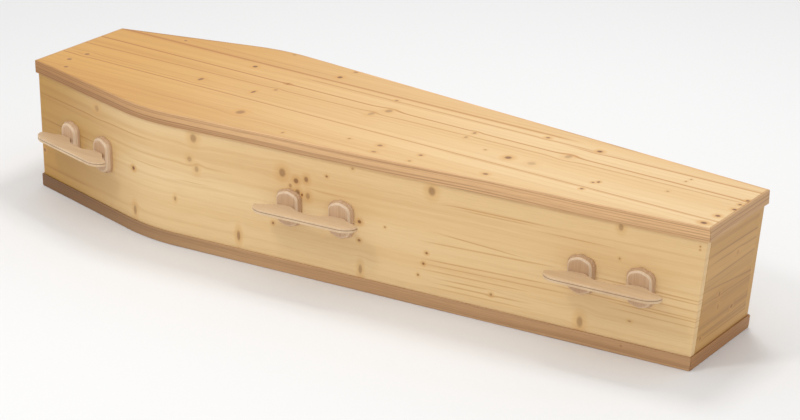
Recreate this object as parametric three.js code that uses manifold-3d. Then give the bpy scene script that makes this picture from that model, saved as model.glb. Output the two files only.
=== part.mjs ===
// Wooden coffin with a lift-off lid, edge strips, base trim and six wooden handles.
// Millimetres, +Z up, +X towards the foot, origin at the middle of the footprint.
import * as THREE from 'three';
import { mergeVertices } from 'three/addons/utils/BufferGeometryUtils.js';
import Module from 'manifold-3d';

const wasm = await Module();
wasm.setup();

// Outline, measured on the lid's outer edge
const lidLength = 1930;
const headWidth = 332;
const shoulderWidth = 556;
const footWidth = 276;
const shoulderFromHead = 464;
const shoulderRadius = 500;
const overallHeight = 344;

// Boards
const lidThickness = 18;
const sideThickness = 18;
const endThickness = 18;
const baseThickness = 18;
const footLean = 28;

// Strips around the lid and the base
const lidStripHeight = 33;
const lidStripThickness = 5;
const baseTrimHeight = 33.5;
const baseTrimThickness = 4.5;

// Clearances
const jointGap = 0.3;
const liftClearance = 1;

// Handle plates
const plateWidth = 66;
const plateHeight = 95;
const plateFoot = 6;
const plateDepth = 18;
const plateStep = 2;
const plateBevel = 11;
const plateCorner = 21;
const plateArch = 5;
const plateSpacing = 143;
const plateCentreHeight = 171;

// Handle bars
const barLength = 284;
const barThickness = 11;
const barReach = 58;
const barMidDepth = 37;
const barEndDepth = 30;
const barEndLength = 40;
const barNeckHalf = 9;
const barNeckRun = 42;
const barCentreHeight = 176.5;

// Handle places: one by the head on the short run, two on the long run behind the shoulder
const headHandleFromHead = 225;
const middleHandleFromShoulder = 485;
const footHandleFromShoulder = 1246;

// Smoothness of round stretches
const shoulderSteps = 12;
const cornerSteps = 5;
const bevelSteps = 3;
const waveSteps = 8;

const bodyInset = lidStripThickness + liftClearance;
const bodyHeight = overallHeight - lidThickness;
const trimInset = bodyInset - jointGap - baseTrimThickness;
const overrun = 120;

const colours = {
  lid: 0xe3bf84,
  side: 0xe0bd80,
  end: 0xb88c57,
  strip: 0xc08d5f,
  trim: 0xc59560,
  handle: 0xcfa67c,
};

function material(colour, roughness) {
  return new THREE.MeshStandardMaterial({ color: colour, roughness, metalness: 0 });
}

// One side of the plan as two straight runs that meet at the shoulder
function runs(inset) {
  const head = new THREE.Vector2(0, headWidth / 2);
  const shoulder = new THREE.Vector2(shoulderFromHead, shoulderWidth / 2);
  const foot = new THREE.Vector2(lidLength, footWidth / 2);
  const headway = shoulder.clone().sub(head).normalize();
  const footway = foot.clone().sub(shoulder).normalize();
  const headOut = new THREE.Vector2(-headway.y, headway.x);
  const footOut = new THREE.Vector2(-footway.y, footway.x);
  const half = Math.acos(headOut.dot(footOut)) / 2;
  const middle = headOut.clone().add(footOut).normalize();
  const corner = shoulder.clone().addScaledVector(middle, -inset / Math.cos(half));
  return { headway, footway, headOut, footOut, half, middle, corner };
}

// Points along one side at a given distance inside the lid's edge, from one x to another
function sideCurve(inset, fromX, toX) {
  const { headway, footway, headOut, footOut, half, middle, corner } = runs(inset);
  const radius = shoulderRadius - inset;
  const centre = corner.clone().addScaledVector(middle, -radius / Math.cos(half));
  const start = headOut.angle();
  const turn = start - footOut.angle();
  const points = [corner.clone().addScaledVector(headway, (fromX - corner.x) / headway.x)];
  for (let i = 0; i <= shoulderSteps; i += 1) {
    const angle = start - (turn * i) / shoulderSteps;
    points.push(new THREE.Vector2(Math.cos(angle), Math.sin(angle)).multiplyScalar(radius).add(centre));
  }
  points.push(corner.clone().addScaledVector(footway, (toX - corner.x) / footway.x));
  return points;
}

// A plate of a plan outline between two heights
function plate(points, low, high) {
  const geometry = new THREE.ExtrudeGeometry(new THREE.Shape(points), {
    depth: high - low,
    bevelEnabled: false,
  });
  return geometry.translate(0, 0, low);
}

function solid(geometry) {
  const bare = geometry.clone();
  bare.deleteAttribute('normal');
  bare.deleteAttribute('uv');
  const merged = mergeVertices(bare, 1e-4);
  const mesh = new wasm.Mesh({
    numProp: 3,
    vertProperties: new Float32Array(merged.attributes.position.array),
    triVerts: new Uint32Array(merged.index.array),
  });
  return new wasm.Manifold(mesh);
}

function surface(manifold) {
  const mesh = manifold.getMesh();
  const geometry = new THREE.BufferGeometry();
  geometry.setAttribute('position', new THREE.BufferAttribute(mesh.vertProperties, 3));
  geometry.setIndex(new THREE.BufferAttribute(mesh.triVerts, 1));
  geometry.computeVertexNormals();
  return geometry;
}

// Planes are kept as an outward normal and a distance along it
function plane(x, y, z, distance) {
  const normal = new THREE.Vector3(x, y, z);
  const size = normal.length();
  return { normal: normal.divideScalar(size), distance: distance / size };
}

function flipped({ normal, distance }) {
  return plane(-normal.x, -normal.y, -normal.z, -distance);
}

function moved({ normal, distance }, by) {
  return plane(normal.x, normal.y, normal.z, distance + by);
}

const cutterSize = 3 * lidLength;

// Cut away what lies beyond each plane
function cut(geometry, planes) {
  let result = solid(geometry);
  for (const { normal, distance } of planes) {
    const block = new THREE.BoxGeometry(cutterSize, cutterSize, cutterSize);
    const turn = new THREE.Quaternion().setFromUnitVectors(new THREE.Vector3(0, 0, 1), normal);
    block.applyQuaternion(turn);
    const away = normal.clone().multiplyScalar(distance + cutterSize / 2);
    block.translate(away.x, away.y, away.z);
    result = result.subtract(solid(block));
  }
  return surface(result);
}

function headPlane(inset) {
  return plane(-1, 0, 0, -inset);
}

function lidFootPlane(inset) {
  return plane(1, 0, 0, lidLength - inset);
}

// The foot end leans in from the body's top edge down to the floor
function footPlane(inset) {
  const topX = lidLength - bodyInset;
  const face = plane(bodyHeight, 0, -footLean, topX * bodyHeight - footLean * bodyHeight);
  return moved(face, bodyInset - inset);
}

function headRunPlane(inset, hand) {
  const { headOut, corner } = runs(inset);
  return plane(headOut.x, hand * headOut.y, 0, headOut.dot(corner));
}

function footRunPlane(inset, hand) {
  const { footOut, corner } = runs(inset);
  return plane(footOut.x, hand * footOut.y, 0, footOut.dot(corner));
}

// The mitre between two strips, with half of the joint's gap on each side
function mitre(own, other) {
  const normal = other.normal.clone().sub(own.normal);
  const face = plane(normal.x, normal.y, normal.z, other.distance - own.distance);
  return moved(face, -jointGap / 2);
}

function mirrored(points, hand) {
  return points.map((point) => new THREE.Vector2(point.x, hand * point.y));
}

// A bent board or strip that follows one side between two insets
function bentPlate(outer, inner, low, high, hand) {
  const there = sideCurve(outer, -overrun, lidLength + overrun);
  const back = sideCurve(inner, -overrun, lidLength + overrun).reverse();
  return plate(mirrored([...there, ...back], hand), low, high);
}

// A board that fills the plan between both sides
function fullPlate(inset, fromX, toX, low, high) {
  const near = sideCurve(inset, fromX, toX);
  const far = mirrored(near, -1).reverse();
  return plate([...near, ...far], low, high);
}

const coffin = new THREE.Group();
coffin.name = 'coffin';
coffin.position.x = -lidLength / 2;

function add(name, geometry, look, parent = coffin) {
  const mesh = new THREE.Mesh(geometry, look);
  mesh.name = name;
  parent.add(mesh);
}

const hands = [
  ['right', -1],
  ['left', 1],
];

// Carcass: two bent sides, two ends between them and a base board inside
function carcass() {
  const look = material(colours.side, 0.55);
  const endLook = material(colours.end, 0.6);
  const innerInset = bodyInset + sideThickness;
  for (const [name, hand] of hands) {
    const board = bentPlate(bodyInset, innerInset, 0, bodyHeight, hand);
    add(`side_panel_${name}`, cut(board, [headPlane(bodyInset), footPlane(bodyInset)]), look);
  }
  const between = innerInset + jointGap;
  const headBack = bodyInset + endThickness;
  add('head_board', endPlate('head', between, bodyInset, headBack, bodyHeight), endLook);
  const footBlank = endPlate('foot', between, lidLength - overrun, lidLength, bodyHeight);
  const footFaces = [footPlane(bodyInset), flipped(footPlane(bodyInset + endThickness))];
  add('foot_board', cut(footBlank, footFaces), endLook);
  const baseBlank = fullPlate(between, headBack + jointGap, lidLength, 0, baseThickness);
  const baseEnd = footPlane(bodyInset + endThickness + jointGap);
  add('base_board', cut(baseBlank, [baseEnd]), look);
}

// A straight end board between the sides, on the run by the head or the foot
function endPlate(run, inset, fromX, toX, high) {
  const { headway, footway, corner } = runs(inset);
  const along = run === 'head' ? headway : footway;
  const halfAt = (x) => corner.y + ((x - corner.x) * along.y) / along.x;
  const near = [new THREE.Vector2(fromX, halfAt(fromX)), new THREE.Vector2(toX, halfAt(toX))];
  return plate([...near, ...mirrored(near, -1).reverse()], 0, high);
}

// A frame of four strips, mitred at the corners: two bent round the shoulders and one at each end
function stripFrame(prefix, outer, inner, low, high, footFace, look) {
  const headOuter = headPlane(outer);
  const footOuter = footFace(outer);
  for (const [name, hand] of hands) {
    const strip = bentPlate(outer, inner, low, high, hand);
    const headEnd = mitre(headRunPlane(outer, hand), headOuter);
    const footEnd = mitre(footRunPlane(outer, hand), footOuter);
    add(`${prefix}_${name}`, cut(strip, [headEnd, footEnd]), look);
  }
  const wide = shoulderWidth;
  const bar = new THREE.BoxGeometry(lidLength, wide, high - low);
  const middle = (low + high) / 2;
  const headBar = bar.clone().translate(0, 0, middle);
  const headMitres = hands.map(([, hand]) => mitre(headOuter, headRunPlane(outer, hand)));
  const headFaces = [headOuter, flipped(headPlane(inner)), ...headMitres];
  add(`${prefix}_head`, cut(headBar, headFaces), look);
  const footBar = bar.clone().translate(lidLength, 0, middle);
  const footMitres = hands.map(([, hand]) => mitre(footOuter, footRunPlane(outer, hand)));
  const footFaces = [footOuter, flipped(footFace(inner)), ...footMitres];
  add(`${prefix}_foot`, cut(footBar, footFaces), look);
}

function baseTrim() {
  const inner = bodyInset - jointGap;
  stripFrame('base_trim', trimInset, inner, 0, baseTrimHeight, footPlane, material(colours.trim, 0.55));
}

// Lid: a flat board with a strip round its edge that laps down over the body
function lid() {
  const inset = lidStripThickness + jointGap;
  const board = fullPlate(inset, inset, lidLength - inset, bodyHeight, overallHeight);
  add('lid_board', board, material(colours.lid, 0.5));
  const low = overallHeight - lidStripHeight;
  const look = material(colours.strip, 0.55);
  stripFrame('lid_edge', 0, lidStripThickness, low, overallHeight, lidFootPlane, look);
}

// Arched outline of a handle plate: straight sides, round corners and a shallow arch above and below
function plateOutline(shrink) {
  const halfWidth = plateWidth / 2 - shrink;
  const halfHeight = plateHeight / 2 - shrink;
  const shoulderHeight = halfHeight - plateArch;
  const round = Math.max(plateCorner - shrink, 1);
  const shape = new THREE.Shape();
  const crownY = shoulderHeight + (plateArch * (halfWidth - round)) / halfWidth / 2;
  shape.moveTo(halfWidth, -shoulderHeight + round);
  shape.lineTo(halfWidth, shoulderHeight - round);
  shape.quadraticCurveTo(halfWidth, shoulderHeight, halfWidth - round, crownY);
  shape.quadraticCurveTo(0, 2 * halfHeight - crownY, round - halfWidth, crownY);
  shape.quadraticCurveTo(-halfWidth, shoulderHeight, -halfWidth, shoulderHeight - round);
  shape.lineTo(-halfWidth, -shoulderHeight + round);
  shape.quadraticCurveTo(-halfWidth, -shoulderHeight, round - halfWidth, -crownY);
  shape.quadraticCurveTo(0, crownY - 2 * halfHeight, halfWidth - round, -crownY);
  shape.quadraticCurveTo(halfWidth, -shoulderHeight, halfWidth, -shoulderHeight + round);
  return shape;
}

// A plate with a plain foot against the panel, a small step and a rounded rise to its flat face
function handlePlate() {
  const foot = new THREE.ExtrudeGeometry(plateOutline(0), {
    depth: plateFoot,
    bevelEnabled: false,
    curveSegments: cornerSteps,
  });
  const rise = plateDepth - plateFoot;
  const crown = new THREE.ExtrudeGeometry(plateOutline(plateStep + plateBevel), {
    depth: rise,
    bevelThickness: rise,
    bevelSize: plateBevel,
    bevelSegments: bevelSteps,
    curveSegments: cornerSteps,
  });
  crown.translate(0, 0, plateDepth - 2 * rise);
  const front = cut(crown, [plane(0, 0, -1, -plateFoot / 2)]);
  return surface(solid(foot).add(solid(front))).rotateX(Math.PI / 2);
}

// Plan of a bar: straight front, rounded ends and a back that swells towards each plate
function barOutline() {
  const half = barLength / 2;
  const neck = plateSpacing / 2;
  const front = plateDepth + barReach;
  const face = plateDepth + jointGap;
  const shape = new THREE.Shape();
  shape.moveTo(-half + barEndLength, front);
  shape.absellipse(-half + barEndLength, front - barEndDepth, barEndLength, barEndDepth, Math.PI / 2, Math.PI);
  const wave = (centre, from, to) => {
    for (let i = 0; i <= waveSteps; i += 1) {
      const t = from + ((to - from) * i) / waveSteps;
      const rise = (1 - Math.cos(Math.PI * t)) / 2;
      const side = Math.sign(to - from) * (barNeckHalf + barNeckRun * t);
      shape.lineTo(centre + side, face + (barMidDepth - plateDepth) * rise);
    }
  };
  wave(-neck, 1, 0);
  wave(-neck, 0, 1);
  wave(neck, 1, 0);
  wave(neck, 0, 1);
  shape.absellipse(half - barEndLength, front - barEndDepth, barEndLength, barEndDepth, 0, Math.PI / 2);
  shape.lineTo(-half + barEndLength, front);
  return shape;
}

function handleBar() {
  const bar = new THREE.ExtrudeGeometry(barOutline(), {
    depth: barThickness,
    bevelEnabled: false,
    curveSegments: 2 * cornerSteps,
  });
  return bar.translate(0, 0, -barThickness / 2);
}

// A handle stands on its panel: local +X along the run, local +Y straight out of the wood
function handle(name, run, distance, hand) {
  const { headway, footway, headOut, footOut, corner } = runs(bodyInset);
  const along = run === 'head' ? headway : footway;
  const out = run === 'head' ? headOut : footOut;
  const start = run === 'head' ? corner.clone().addScaledVector(along, -corner.x / along.x) : corner;
  const place = start.clone().addScaledVector(along, distance).addScaledVector(out, jointGap);
  const group = new THREE.Group();
  group.position.set(place.x, hand * place.y, 0);
  group.rotation.z = hand > 0 ? out.angle() - Math.PI / 2 : -out.angle() + Math.PI / 2 + Math.PI;
  const wood = material(colours.handle, 0.5);
  const bar = handleBar().translate(0, 0, barCentreHeight);
  add(`${name}_bar`, bar, wood, group);
  for (const [end, side] of [['head', -1], ['foot', 1]]) {
    const block = handlePlate().rotateZ(Math.PI);
    block.translate((hand * side * plateSpacing) / 2, 0, plateCentreHeight);
    add(`${name}_plate_${end}`, block, wood, group);
  }
  coffin.add(group);
}

function handles() {
  for (const [name, hand] of hands) {
    handle(`handle_${name}_head`, 'head', headHandleFromHead, hand);
    handle(`handle_${name}_middle`, 'foot', middleHandleFromShoulder, hand);
    handle(`handle_${name}_foot`, 'foot', footHandleFromShoulder, hand);
  }
}

carcass();
baseTrim();
lid();
handles();

export default coffin;
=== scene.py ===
import bpy
import bmesh
import math
from mathutils import Euler, Matrix, Vector


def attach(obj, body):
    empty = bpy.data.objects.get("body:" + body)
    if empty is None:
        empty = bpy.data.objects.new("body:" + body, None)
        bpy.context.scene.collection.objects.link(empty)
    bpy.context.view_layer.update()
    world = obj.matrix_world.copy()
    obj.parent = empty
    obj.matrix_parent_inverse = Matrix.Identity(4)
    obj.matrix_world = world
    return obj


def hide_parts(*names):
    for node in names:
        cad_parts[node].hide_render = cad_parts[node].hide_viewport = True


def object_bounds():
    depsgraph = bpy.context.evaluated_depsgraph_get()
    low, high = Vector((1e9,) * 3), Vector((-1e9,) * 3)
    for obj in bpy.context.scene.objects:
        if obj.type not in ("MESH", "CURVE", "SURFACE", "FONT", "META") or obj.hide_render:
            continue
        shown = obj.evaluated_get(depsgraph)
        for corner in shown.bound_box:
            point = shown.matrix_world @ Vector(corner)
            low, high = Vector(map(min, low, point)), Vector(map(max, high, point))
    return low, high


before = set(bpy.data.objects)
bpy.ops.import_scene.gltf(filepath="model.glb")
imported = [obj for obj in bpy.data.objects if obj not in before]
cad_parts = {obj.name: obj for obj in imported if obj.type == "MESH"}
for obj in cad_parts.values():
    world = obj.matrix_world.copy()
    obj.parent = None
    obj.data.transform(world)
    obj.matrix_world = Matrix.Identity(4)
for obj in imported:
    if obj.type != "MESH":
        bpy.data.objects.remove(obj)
cadBox = [list(corner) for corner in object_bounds()]
mm = 0.001
headX = cadBox[0][0]
print("frame loaded")

# camera and light
view = {
    "place": (2.9431, -4.0808, 2.1763),
    "azimuth": 35.198,
    "elevation": 22.348,
    "roll": 0.339,
    "lens": 100.9,
    "sensor": 36,
}


def buildCamera():
    data = bpy.data.cameras.new("camera")
    data.lens = view["lens"]
    data.sensor_width = view["sensor"]
    camera = bpy.data.objects.new("camera", data)
    bpy.context.collection.objects.link(camera)
    turn = Euler((math.radians(90 - view["elevation"]), 0, math.radians(view["azimuth"])))
    roll = Matrix.Rotation(math.radians(view["roll"]), 4, "Z")
    camera.matrix_world = Matrix.Translation(view["place"]) @ turn.to_matrix().to_4x4() @ roll
    bpy.context.scene.camera = camera


lights = {
    "key": {"place": (-0.7, -2.3, 3.1), "aim": (0.1, -0.1, 0.2), "size": 0.6, "power": 26,
            "tint": (1, 1, 0.98)},
    "front": {"place": (2.2, -3.6, 1.6), "aim": (0.7, 0, 0.2), "size": 2.0, "power": 7, "tint": (1, 1, 1)},
    "back": {"place": (0.1, 1.1, 3.4), "aim": (0.1, -0.1, 0.1), "size": 0.8, "power": 32, "tint": (1, 1, 1)},
}
sky = {"colour": (1, 1, 1, 1), "strength": 0.85, "transform": "Standard"}


def buildLights():
    for name, spec in lights.items():
        data = bpy.data.lights.new(name, "AREA")
        data.energy = spec["power"]
        data.size = spec["size"]
        data.color = spec["tint"]
        lamp = bpy.data.objects.new(name, data)
        bpy.context.collection.objects.link(lamp)
        lamp.location = spec["place"]
        aim = Vector(spec["aim"]) - Vector(spec["place"])
        lamp.rotation_euler = aim.to_track_quat("-Z", "Y").to_euler()
    world = bpy.data.worlds.new("studio")
    world.use_nodes = True
    background = world.node_tree.nodes["Background"]
    background.inputs["Color"].default_value = sky["colour"]
    background.inputs["Strength"].default_value = sky["strength"]
    bpy.context.scene.world = world
    bpy.context.scene.view_settings.view_transform = sky["transform"]


floor = {"reach": 30, "colour": (0.80, 0.80, 0.80, 1), "rough": 0.9}


def buildFloor():
    bm = bmesh.new()
    bmesh.ops.create_grid(bm, x_segments=1, y_segments=1, size=floor["reach"])
    data = bpy.data.meshes.new("floor")
    bm.to_mesh(data)
    bm.free()
    ground = bpy.data.objects.new("floor", data)
    bpy.context.collection.objects.link(ground)
    paint = bpy.data.materials.new("floor")
    paint.use_nodes = True
    shader = paint.node_tree.nodes["Principled BSDF"]
    shader.inputs["Base Color"].default_value = floor["colour"]
    shader.inputs["Roughness"].default_value = floor["rough"]
    data.materials.append(paint)


# small helpers for shader nodes
def link(tree, out, into):
    tree.links.new(out, into)


def mathNode(tree, kind, *values):
    node = tree.nodes.new("ShaderNodeMath")
    node.operation = kind
    for i, value in enumerate(values):
        if isinstance(value, (int, float)):
            node.inputs[i].default_value = value
        else:
            link(tree, value, node.inputs[i])
    return node.outputs[0]


def rangeNode(tree, value, low, high, toLow=0.0, toHigh=1.0):
    node = tree.nodes.new("ShaderNodeMapRange")
    node.interpolation_type = "SMOOTHSTEP"
    link(tree, value, node.inputs["Value"])
    node.inputs["From Min"].default_value = low
    node.inputs["From Max"].default_value = high
    node.inputs["To Min"].default_value = toLow
    node.inputs["To Max"].default_value = toHigh
    return node.outputs["Result"]


def newGroup(name, inputs, outputs):
    group = bpy.data.node_groups.new(name, "ShaderNodeTree")
    for label, kind, value in inputs:
        socket = group.interface.new_socket(label, in_out="INPUT", socket_type=kind)
        socket.default_value = value
    for label, kind in outputs:
        group.interface.new_socket(label, in_out="OUTPUT", socket_type=kind)
    return group, group.nodes.new("NodeGroupInput").outputs, group.nodes.new("NodeGroupOutput").inputs


number = "NodeSocketFloat"


def combine(tree, x, y, z=0.0):
    node = tree.nodes.new("ShaderNodeCombineXYZ")
    for i, value in enumerate((x, y, z)):
        if isinstance(value, (int, float)):
            node.inputs[i].default_value = value
        else:
            link(tree, value, node.inputs[i])
    return node.outputs[0]


def noise(tree, place, scale, detail, roughness=0.5):
    node = tree.nodes.new("ShaderNodeTexNoise")
    link(tree, place, node.inputs["Vector"])
    node.inputs["Scale"].default_value = scale
    node.inputs["Detail"].default_value = detail
    node.inputs["Roughness"].default_value = roughness
    return node.outputs["Fac"]


# where a knot's core and halo fade, as shares of its radius, and how the grain bends round it
knotShape = {"core": (0.45, 1.1), "halo": (0.8, 2.8), "bendAlong": 0.12, "bendAcross": 0.3, "bend": -0.85}


# one knot: a dark core, a warm halo, and grain that runs round it
def buildKnotGroup():
    tree, given, out = newGroup(
        "knot",
        [("Along", number, 0), ("Across", number, 0), ("Centre Along", number, 0),
         ("Centre Across", number, 0), ("Radius", number, 8), ("Stretch", number, 1), ("Depth", number, 1),
         ("Core", number, 0), ("Halo", number, 0), ("Bend", number, 0)],
        [("Core", number), ("Halo", number), ("Bend", number)],
    )
    dx = mathNode(tree, "SUBTRACT", given["Along"], given["Centre Along"])
    dy = mathNode(tree, "SUBTRACT", given["Across"], given["Centre Across"])
    u = mathNode(tree, "DIVIDE", dx, given["Radius"])
    v = mathNode(tree, "DIVIDE", dy, mathNode(tree, "MULTIPLY", given["Radius"], given["Stretch"]))
    uu = mathNode(tree, "MULTIPLY", u, u)
    vv = mathNode(tree, "MULTIPLY", v, v)
    far = mathNode(tree, "SQRT", mathNode(tree, "ADD", uu, vv))
    core = mathNode(tree, "MULTIPLY", rangeNode(tree, far, *knotShape["core"], 1, 0), given["Depth"])
    halo = mathNode(tree, "MULTIPLY", rangeNode(tree, far, *knotShape["halo"], 1, 0), given["Depth"])
    spreadAlong = mathNode(tree, "MULTIPLY", uu, knotShape["bendAlong"])
    spreadAcross = mathNode(tree, "MULTIPLY", vv, knotShape["bendAcross"])
    spread = mathNode(tree, "ADD", spreadAlong, spreadAcross)
    fade = mathNode(tree, "EXPONENT", mathNode(tree, "MULTIPLY", spread, -1))
    push = mathNode(tree, "MULTIPLY", mathNode(tree, "MULTIPLY", dy, fade), knotShape["bend"])
    link(tree, mathNode(tree, "MAXIMUM", given["Core"], core), out["Core"])
    link(tree, mathNode(tree, "MAXIMUM", given["Halo"], halo), out["Halo"])
    link(tree, mathNode(tree, "ADD", given["Bend"], push), out["Bend"])
    return tree


wholeBoard = (-100, 2500)
stripeEnds = (-40, 60)


# one strong grain line at a slant, with soft edges and ends
def buildStripeGroup():
    tree, given, out = newGroup(
        "stripe",
        [("Along", number, 0), ("Across", number, 0), ("Start", number, 0), ("Slope", number, 0),
         ("Width", number, 3), ("Depth", number, 1), ("Begin", number, wholeBoard[0]),
         ("End", number, wholeBoard[1]), ("Stripe", number, 0)],
        [("Stripe", number)],
    )
    middle = mathNode(tree, "ADD", given["Start"], mathNode(tree, "MULTIPLY", given["Slope"], given["Along"]))
    off = mathNode(tree, "DIVIDE", mathNode(tree, "SUBTRACT", given["Across"], middle), given["Width"])
    fade = mathNode(tree, "EXPONENT", mathNode(tree, "MULTIPLY", mathNode(tree, "MULTIPLY", off, off), -1))
    begin = rangeNode(tree, mathNode(tree, "SUBTRACT", given["Along"], given["Begin"]), *stripeEnds)
    end = rangeNode(tree, mathNode(tree, "SUBTRACT", given["End"], given["Along"]), *stripeEnds)
    inside = mathNode(tree, "MULTIPLY", begin, end)
    here = mathNode(tree, "MULTIPLY", mathNode(tree, "MULTIPLY", fade, given["Depth"]), inside)
    link(tree, mathNode(tree, "MAXIMUM", given["Stripe"], here), out["Stripe"])
    return tree


# how far each part of the grain runs along and across a board, in millimetres
grainRun = {"tone": (2600, 150), "sway": (500, 120), "swayWidth": 14, "line": 1800, "lineRange": (0.42, 0.72),
            "fibre": (60, 1.6)}


# softwood grain along one direction: broad tone, growth lines and fine fibres
def buildGrainGroup():
    tree, given, out = newGroup(
        "grain",
        [("Along", number, 0), ("Across", number, 0), ("Spacing", number, 12), ("Seed", number, 0)],
        [("Tone", number), ("Line", number), ("Fibre", number)],
    )

    def stretched(along, across):
        return combine(tree, mathNode(tree, "DIVIDE", given["Along"], along),
                       mathNode(tree, "DIVIDE", given["Across"], across), given["Seed"])

    link(tree, noise(tree, stretched(*grainRun["tone"]), 1, 2), out["Tone"])
    sway = mathNode(tree, "MULTIPLY", noise(tree, stretched(*grainRun["sway"]), 1, 1), grainRun["swayWidth"])
    ring = mathNode(tree, "DIVIDE", mathNode(tree, "ADD", given["Across"], sway), given["Spacing"])
    lines = combine(tree, mathNode(tree, "DIVIDE", given["Along"], grainRun["line"]), ring, given["Seed"])
    link(tree, rangeNode(tree, noise(tree, lines, 1, 2.5, 0.55), *grainRun["lineRange"]), out["Line"])
    link(tree, noise(tree, stretched(*grainRun["fibre"]), 1, 3, 0.6), out["Fibre"])
    return tree


knotGroup = buildKnotGroup()
stripeGroup = buildStripeGroup()
grainGroup = buildGrainGroup()


def place(tree, group, values):
    node = tree.nodes.new("ShaderNodeGroup")
    node.node_tree = group
    for label, value in values.items():
        if isinstance(value, (int, float)):
            node.inputs[label].default_value = value
        else:
            link(tree, value, node.inputs[label])
    return node.outputs


def mixColour(tree, amount, first, second, blend="MIX"):
    node = tree.nodes.new("ShaderNodeMix")
    node.data_type = "RGBA"
    node.blend_type = blend
    if isinstance(amount, (int, float)):
        node.inputs[0].default_value = amount
    else:
        link(tree, amount, node.inputs[0])
    for socket, value in ((node.inputs[6], first), (node.inputs[7], second)):
        if isinstance(value, tuple):
            socket.default_value = (*value, 1)
        else:
            link(tree, value, socket)
    return node.outputs[2]


def axisValue(tree, axes):
    coords = tree.nodes.new("ShaderNodeTexCoord").outputs["Object"]
    split = tree.nodes.new("ShaderNodeSeparateXYZ")
    link(tree, coords, split.inputs[0])
    values = []
    for axis in axes:
        metres = split.outputs["XYZ".index(axis)]
        values.append(mathNode(tree, "MULTIPLY", metres, 1000))
    return values


# the border entries give the strength and slopes of the painted highlight on a plate's sloping border
finish = {
    "lineWidth": 0.7, "lineStrength": 1.4, "toneRange": (0.3, 0.7), "fibreRange": (0.35, 0.8),
    "halo": 0.65, "core": 0.95, "border": 0.55, "borderSteep": (0.3, 0.5), "borderLevel": (0.95, 0.85),
    "endFacing": 0.8, "plyWidth": 0.9, "fibreRough": 0.12, "bump": 0.25, "bumpHeight": 0.4, "lineBump": 0.5,
}


def surfaceNormal(tree):
    normal = tree.nodes.new("ShaderNodeSeparateXYZ")
    link(tree, tree.nodes.new("ShaderNodeNewGeometry").outputs["True Normal"], normal.inputs[0])
    return normal.outputs


# painted shade darkening the head end, the glue line in a bar's edge, the far panel's end face and a painted
# highlight on a plate's sloping border
def addedTones(tree, spec, along, colour):
    # painted shade: the colour is multiplied darker towards the head end, where less light falls
    if "headward" in spec:
        shade = rangeNode(tree, along, spec["headReach"], 0)
        colour = mixColour(tree, shade, colour, spec["headward"], "MULTIPLY")
    if "ply" in spec:
        ply = place(tree, stripeGroup, {
            "Along": 0, "Across": axisValue(tree, "Z")[0], "Start": spec["ply"], "Width": finish["plyWidth"],
            "Depth": 1, "Stripe": 0})["Stripe"]
        colour = mixColour(tree, ply, colour, spec["plyLine"])
    if "farEnd" in spec:
        facing = mathNode(tree, "GREATER_THAN", surfaceNormal(tree)[0], finish["endFacing"])
        far = mathNode(tree, "GREATER_THAN", axisValue(tree, "Y")[0], 0)
        colour = mixColour(tree, mathNode(tree, "MULTIPLY", facing, far), colour, spec["farEnd"])
    # painted highlight: a plate's sloping border faces are lightened
    if "border" in spec:
        slope = mathNode(tree, "ABSOLUTE", surfaceNormal(tree)[1])
        steep = rangeNode(tree, slope, *finish["borderSteep"])
        level = rangeNode(tree, slope, *finish["borderLevel"])
        border = mathNode(tree, "MULTIPLY", mathNode(tree, "MULTIPLY", steep, level), finish["border"])
        colour = mixColour(tree, border, colour, spec["border"])
    return colour


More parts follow.
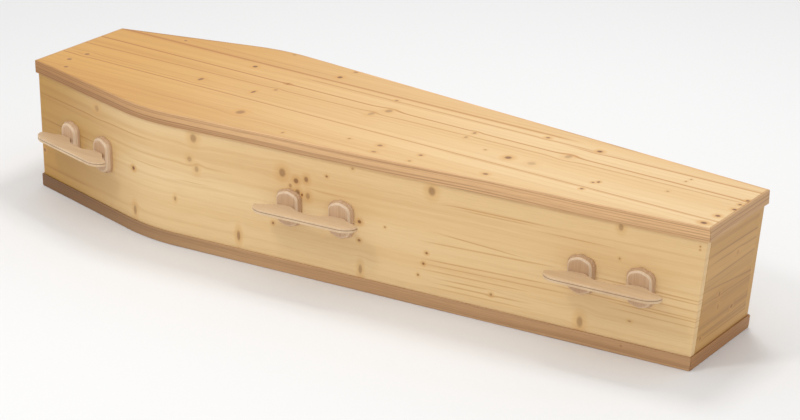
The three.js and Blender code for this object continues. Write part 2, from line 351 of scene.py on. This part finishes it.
# a board's finish; knots and stripes are given in millimetres along and across the grain
def woodMaterial(name, spec, knots=(), stripes=()):
    paint = bpy.data.materials.new(name)
    paint.use_nodes = True
    tree = paint.node_tree
    shader = tree.nodes["Principled BSDF"]
    along, across = axisValue(tree, spec["axes"])
    along = mathNode(tree, "SUBTRACT", along, spec.get("from", 0))
    core, halo, bend = 0.0, 0.0, 0.0
    for x, y, radius, stretch, depth in knots:
        out = place(tree, knotGroup, {
            "Along": along, "Across": across, "Centre Along": x, "Centre Across": y, "Radius": radius,
            "Stretch": stretch, "Depth": depth, "Core": core, "Halo": halo, "Bend": bend})
        core, halo, bend = out["Core"], out["Halo"], out["Bend"]
    bent = mathNode(tree, "ADD", across, bend)
    grain = place(tree, grainGroup, {
        "Along": along, "Across": bent, "Spacing": spec["spacing"], "Seed": spec["seed"]})
    stripe = 0.0
    for start, slope, width, depth, *reach in stripes:
        begin, end = reach or wholeBoard
        stripe = place(tree, stripeGroup, {
            "Along": along, "Across": bent, "Start": start - slope * max(begin, 0), "Slope": slope,
            "Width": width * finish["lineWidth"], "Depth": min(depth * finish["lineStrength"], 1),
            "Begin": begin, "End": end, "Stripe": stripe})["Stripe"]
    tone = rangeNode(tree, grain["Tone"], *finish["toneRange"])
    colour = mixColour(tree, tone, spec["pale"], spec["warm"])
    lines = mathNode(tree, "MULTIPLY", grain["Line"], spec["lineDepth"])
    colour = mixColour(tree, lines, colour, spec["line"])
    if stripes:
        colour = mixColour(tree, stripe, colour, spec["line"])
    colour = addedTones(tree, spec, along, colour)
    fibres = rangeNode(tree, grain["Fibre"], *finish["fibreRange"])
    colour = mixColour(tree, mathNode(tree, "MULTIPLY", fibres, spec["fibreDepth"]), colour, spec["line"])
    if knots:
        colour = mixColour(tree, mathNode(tree, "MULTIPLY", halo, finish["halo"]), colour, spec["halo"])
        colour = mixColour(tree, mathNode(tree, "MULTIPLY", core, finish["core"]), colour, spec["knot"])
    link(tree, colour, shader.inputs["Base Color"])
    roughFibre = mathNode(tree, "MULTIPLY", grain["Fibre"], finish["fibreRough"])
    rough = mathNode(tree, "ADD", roughFibre, spec["rough"])
    link(tree, rough, shader.inputs["Roughness"])
    bump = tree.nodes.new("ShaderNodeBump")
    bump.inputs["Strength"].default_value = finish["bump"]
    bump.inputs["Distance"].default_value = finish["bumpHeight"] * mm
    dip = mathNode(tree, "MULTIPLY", grain["Line"], finish["lineBump"])
    height = mathNode(tree, "SUBTRACT", grain["Fibre"], dip)
    link(tree, height, bump.inputs["Height"])
    link(tree, bump.outputs[0], shader.inputs["Normal"])
    return paint


# the lid's pine; its head-end colour is painted shade, darker towards the head
pine = {
    "pale": (0.77, 0.55, 0.285), "warm": (0.70, 0.465, 0.21), "line": (0.48, 0.21, 0.045),
    "halo": (0.60, 0.30, 0.07), "knot": (0.18, 0.065, 0.015), "headward": (0.78, 0.58, 0.24),
    "headReach": 1500, "lineDepth": 0.24, "fibreDepth": 0.16, "rough": 0.42, "spacing": 14, "seed": 1.3,
    "axes": "XY", "from": headX / mm,
}

# knots on the lid: along from the head, across, radius, stretch across the grain, depth
lidKnots = [
    (207, 185, 6, 0.8, 0.8), (487, 127, 8, 1.0, 1.0), (75, -51, 8, 1.0, 0.8), (66, -108, 8, 1.0, 0.8),
    (101, -158, 7, 1.0, 0.8), (439, -30, 7, 1.8, 0.8), (605, -27, 5, 2.2, 0.9), (637, 70, 5, 1.4, 0.6),
    (640, 17, 6, 1.2, 0.5), (672, -160, 13, 1.2, 0.6), (711, 187, 8, 1.1, 1.0), (720, 242, 8, 0.9, 0.6),
    (927, 129, 6, 0.8, 0.7), (955, 57, 11, 1.2, 0.5), (932, 17, 9, 1.6, 0.4), (1206, 52, 5, 1.4, 0.7),
    (1205, 17, 5, 1.4, 0.5), (1287, -26, 4, 1.0, 0.6), (1075, -146, 8, 0.9, 0.7), (1087, -187, 8, 0.7, 0.6),
    (1187, -142, 6, 0.9, 0.8), (1187, -187, 5, 0.9, 0.6), (991, -152, 4, 1.2, 0.6), (841, -212, 4, 1.6, 0.6),
    (1362, 127, 7, 0.8, 0.8), (1506, 120, 8, 0.9, 1.0), (1357, -37, 10, 1.0, 0.9), (1420, -37, 12, 1.0, 0.3),
    (1601, -46, 4, 1.4, 1.0), (1592, -55, 4, 1.0, 0.9), (1591, -102, 5, 1.0, 0.9), (1371, -153, 8, 0.8, 0.8),
    (1760, 89, 3, 1.2, 0.7), (1756, 72, 3, 1.4, 0.6), (1752, -4, 4, 0.9, 0.6), (1908, -65, 7, 0.9, 1.0),
    (1902, -117, 9, 0.8, 1.0), (1920, -12, 6, 0.9, 1.0), (1917, 20, 5, 1.0, 0.9), (1920, 50, 5, 1.2, 0.9),
    (1465, 50, 10, 1.4, 0.4), (510, 260, 6, 0.9, 0.5),
]

# strong grain lines on the lid: start across, slope, width, depth, and for short ones their two ends
lidStripes = [
    (165, -0.014, 7, 0.62, -100, 1420), (130, -0.018, 4, 0.5, 640, 1500), (107, 0.0, 4, 0.65, 1440, 2100),
    (82, -0.0185, 4, 0.75), (20, 0.006, 3.5, 0.5), (-66, -0.015, 3.5, 0.62),
    (-90, -0.012, 3, 0.35, 1200, 2100), (-178, -0.002, 3, 0.3, 380, 690),
    (-52, -0.012, 3, 0.3, 0, 520), (-36, -0.01, 3, 0.3, 0, 260),
    (205, -0.03, 4, 0.2, 0, 700), (-120, -0.01, 3, 0.16, 0, 900), (-190, -0.004, 3, 0.22, 690, 1100),
]

# knots on the side: along from the head, height, radius, stretch up, depth
sideKnots = [
    (15, 101, 6, 1.0, 0.8), (262, 285, 10, 1.0, 0.35), (408, 170, 6, 1.0, 1.0), (408, 59, 7, 2.2, 0.5),
    (605, 292, 11, 1.2, 0.5), (592, 236, 8, 1.0, 0.4), (612, 214, 7, 1.4, 0.4), (546, 124, 4, 1.8, 0.5),
    (856, 254, 11, 1.2, 0.6), (894, 241, 8, 1.0, 0.8), (922, 250, 7, 1.2, 0.7), (898, 213, 8, 1.1, 0.7),
    (910, 209, 3, 1.4, 1.0), (926, 209, 7, 1.4, 0.5), (878, 226, 5, 1.2, 0.5), (729, 66, 6, 2.6, 0.6),
    (1066, 174, 6, 0.9, 0.9), (1065, 127, 5, 0.8, 0.8), (828, 120, 4, 1.0, 0.8), (978, 269, 4, 0.8, 0.8),
    (1134, 175, 3, 0.8, 0.7), (1048, 302, 4, 0.8, 0.5), (1068, 54, 6, 2.4, 0.5), (1256, 289, 11, 1.2, 0.6),
    (1244, 134, 4, 0.8, 0.9), (1236, 106, 4, 0.9, 0.9), (1222, 75, 3, 1.0, 0.8), (1722, 301, 7, 1.4, 0.5),
    (1722, 227, 3, 1.0, 0.5), (1633, 54, 9, 1.8, 0.5), (1752, 84, 5, 0.5, 0.5), (1411, 69, 4, 1.0, 0.6),
    (1906, 296, 2, 1.0, 0.7), (1906, 288, 2, 1.0, 0.6),
]
sideStripes = [
    (258, 0.006, 2, 0.45, 0, 480), (189, 0.0, 2, 0.5, 0, 260), (196, -0.02, 2, 0.35, 390, 520),
    (222, 0, 4, 0.25, 300, 700), (59, 0, 4, 0.3, 0, 220), (176, 0.01, 1.6, 0.5, 570, 630),
    (227, -0.01, 2.5, 0.3, 930, 1030), (82, 0, 1.6, 0.5, 1065, 1110),
    (264, 0.004, 2, 0.5, 1290, 1540), (258, 0.006, 1.6, 0.4, 1330, 1500), (249, 0.002, 2, 0.4, 1540, 1690),
    (189, -0.055, 1.8, 0.5, 1280, 1480), (162, 0.03, 2.5, 0.4, 1240, 1560), (118, 0.03, 2, 0.45, 1240, 1560),
    (106, 0.025, 2, 0.4, 1240, 1600), (92, 0.02, 2, 0.4, 1230, 1500), (76, 0.03, 2.4, 0.42, 1280, 1420),
    (64, 0.02, 2.4, 0.42, 1270, 1500), (52, 0.01, 2.4, 0.3, 1260, 1500), (128, -0.01, 2, 0.4, 1560, 1930),
    (120, -0.012, 1.8, 0.45, 1700, 1930), (170, -0.01, 2, 0.5, 1660, 1930),
    (162, -0.012, 1.8, 0.45, 1740, 1930), (146, -0.01, 2, 0.4, 1560, 1930), (106, -0.01, 2, 0.3, 1700, 1930),
]

# on the end boards along runs from side to side, from the middle, and across is the height
endKnots = [
    (-35, 150, 5, 1.4, 0.6), (-33, 118, 5, 1.6, 0.4), (38, 92, 6, 0.9, 0.7), (-100, 65, 5, 0.9, 0.6),
    (28, 229, 7, 0.8, 0.3),
]
endStripes = [
    (262, -0.02, 2, 0.5), (240, -0.03, 2, 0.4), (206, 0.01, 3, 0.35), (168, -0.12, 3, 0.4),
    (146, -0.03, 2, 0.4), (74, 0.02, 2, 0.35), (58, 0.0, 2, 0.4),
]

# lid edges and base trim; their head-end colour is painted shade, darker towards the head
strip = {
    "pale": (0.77, 0.48, 0.235), "warm": (0.67, 0.385, 0.17), "line": (0.22, 0.09, 0.03),
    "headward": (0.58, 0.45, 0.26), "headReach": 900, "from": headX / mm,
    "halo": (0.4, 0.2, 0.08), "knot": (0.2, 0.08, 0.03),
    "lineDepth": 0.85, "fibreDepth": 0.25, "rough": 0.45, "spacing": 5, "seed": 4.1, "axes": "XZ",
}
trimKnots = [(1737, 22, 2.5, 1.0, 0.6)]

handleWood = {
    "pale": (0.73, 0.54, 0.34), "warm": (0.65, 0.45, 0.26), "line": (0.38, 0.20, 0.09),
    "halo": (0.4, 0.2, 0.08), "knot": (0.2, 0.08, 0.03), "fibreDepth": 0.25, "rough": 0.42, "seed": 2.2,
}


def variant(base, **changes):
    return {**base, **changes}


def buildMaterials():
    end = variant(pine, pale=(0.60, 0.34, 0.11), warm=(0.51, 0.27, 0.075), line=(0.26, 0.12, 0.035),
                  axes="YZ", seed=9.2, lineDepth=0.45)
    endStrip = variant(strip, pale=(0.60, 0.36, 0.17), warm=(0.52, 0.29, 0.12), axes="YZ", seed=6.4)
    for spec in (end, endStrip):
        for lengthwise in ("headward", "from"):
            del spec[lengthwise]
    # the side's head-end colour is painted shade, darker towards the head
    side = variant(pine, pale=(0.82, 0.60, 0.32), warm=(0.74, 0.50, 0.235), axes="XZ", seed=3.7,
                   lineDepth=0.2, spacing=11, headReach=520, headward=(0.60, 0.46, 0.18),
                   farEnd=(0.54, 0.30, 0.09))
    # the trim's head-end colour is painted shade, darker towards the head
    trim = variant(strip, pale=(0.56, 0.34, 0.17), warm=(0.48, 0.27, 0.125), headward=(0.36, 0.28, 0.18),
                   seed=7.7, lineDepth=0.45)
    trimEnd = variant(endStrip, pale=(0.44, 0.22, 0.075), warm=(0.37, 0.17, 0.055), seed=8.8, lineDepth=0.45)
    # the plate's border colour is a painted highlight on its sloping border
    plate = variant(handleWood, pale=(0.64, 0.44, 0.28), warm=(0.56, 0.36, 0.21), axes="ZX", spacing=3,
                    lineDepth=0.35, border=(0.84, 0.68, 0.48))
    bar = variant(handleWood, axes="XY", spacing=9, lineDepth=0.2, ply=177.6, plyLine=(0.2, 0.1, 0.045))
    paints = {
        "lid": woodMaterial("pineLid", pine, lidKnots, lidStripes),
        "side": woodMaterial("pineSide", side, sideKnots, sideStripes),
        "end": woodMaterial("pineEnd", end, endKnots, endStripes),
        "strip": woodMaterial("edgeStrip", strip),
        "stripEnd": woodMaterial("edgeStripEnd", endStrip),
        "trim": woodMaterial("baseTrim", trim, trimKnots),
        "trimEnd": woodMaterial("baseTrimEnd", trimEnd),
        "plate": woodMaterial("handlePlate", plate),
        "bar": woodMaterial("handleBar", bar),
    }
    return paints


paints = buildMaterials()
print("materials ready")


# millimetres and degrees within which points and faces are joined
merging = {"gap": 0.02, "flat": 0.5}


# a rounded copy of a CAD node takes its place
def softened(name, width, segments, paint, slot, sharp=30, smooth=35):
    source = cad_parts[name]
    bm = bmesh.new()
    bm.from_mesh(source.data)
    bmesh.ops.remove_doubles(bm, verts=bm.verts, dist=merging["gap"] * mm)
    bmesh.ops.dissolve_limit(bm, angle_limit=math.radians(merging["flat"]), verts=bm.verts, edges=bm.edges)
    edges = [edge for edge in bm.edges if edge.calc_face_angle(0) > math.radians(sharp)]
    bmesh.ops.bevel(bm, geom=edges, offset=width * mm, segments=segments, profile=0.5, affect="EDGES",
                    material=-1, clamp_overlap=True)
    data = bpy.data.meshes.new(name + "_wood")
    bm.to_mesh(data)
    bm.free()
    data.polygons.foreach_set("use_smooth", [True] * len(data.polygons))
    data.set_sharp_from_angle(angle=math.radians(smooth))
    piece = bpy.data.objects.new(name + "_wood", data)
    bpy.context.collection.objects.link(piece)
    data.materials.append(paint)
    weighted = piece.modifiers.new("normals", "WEIGHTED_NORMAL")
    weighted.keep_sharp = True
    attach(piece, "root")
    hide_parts(name)


# width in millimetres and segments of the rounding on each kind of piece
rounding = {
    "lid": (0.8, 2), "side": (1.6, 3), "end": (0.8, 2), "strip": (1.2, 3), "trim": (2.2, 4), "bar": (1.0, 3),
    "plate": (0.8, 2),
}


def buildBoards():
    softened("lid_board", *rounding["lid"], paints["lid"], "pine_lid")
    for hand in ("right", "left"):
        softened(f"side_panel_{hand}", *rounding["side"], paints["side"], "pine_side")
        softened(f"lid_edge_{hand}", *rounding["strip"], paints["strip"], "lid_edge")
        softened(f"base_trim_{hand}", *rounding["trim"], paints["trim"], "base_trim")
    for end in ("head", "foot"):
        softened(f"{end}_board", *rounding["end"], paints["end"], "pine_end")
        softened(f"lid_edge_{end}", *rounding["strip"], paints["stripEnd"], "lid_edge")
        softened(f"base_trim_{end}", *rounding["trim"], paints["trimEnd"], "base_trim")
    softened("base_board", *rounding["lid"], paints["side"], "pine_side")
    print("boards done")


def buildHandles():
    for hand in ("right", "left"):
        for where in ("head", "middle", "foot"):
            name = f"handle_{hand}_{where}"
            softened(f"{name}_bar", *rounding["bar"], paints["bar"], "handle_wood")
            for end in ("head", "foot"):
                softened(f"{name}_plate_{end}", *rounding["plate"], paints["plate"], "handle_wood",
                         sharp=24, smooth=20)
    print("handles done")


buildCamera()
buildLights()
buildFloor()
buildBoards()
buildHandles()
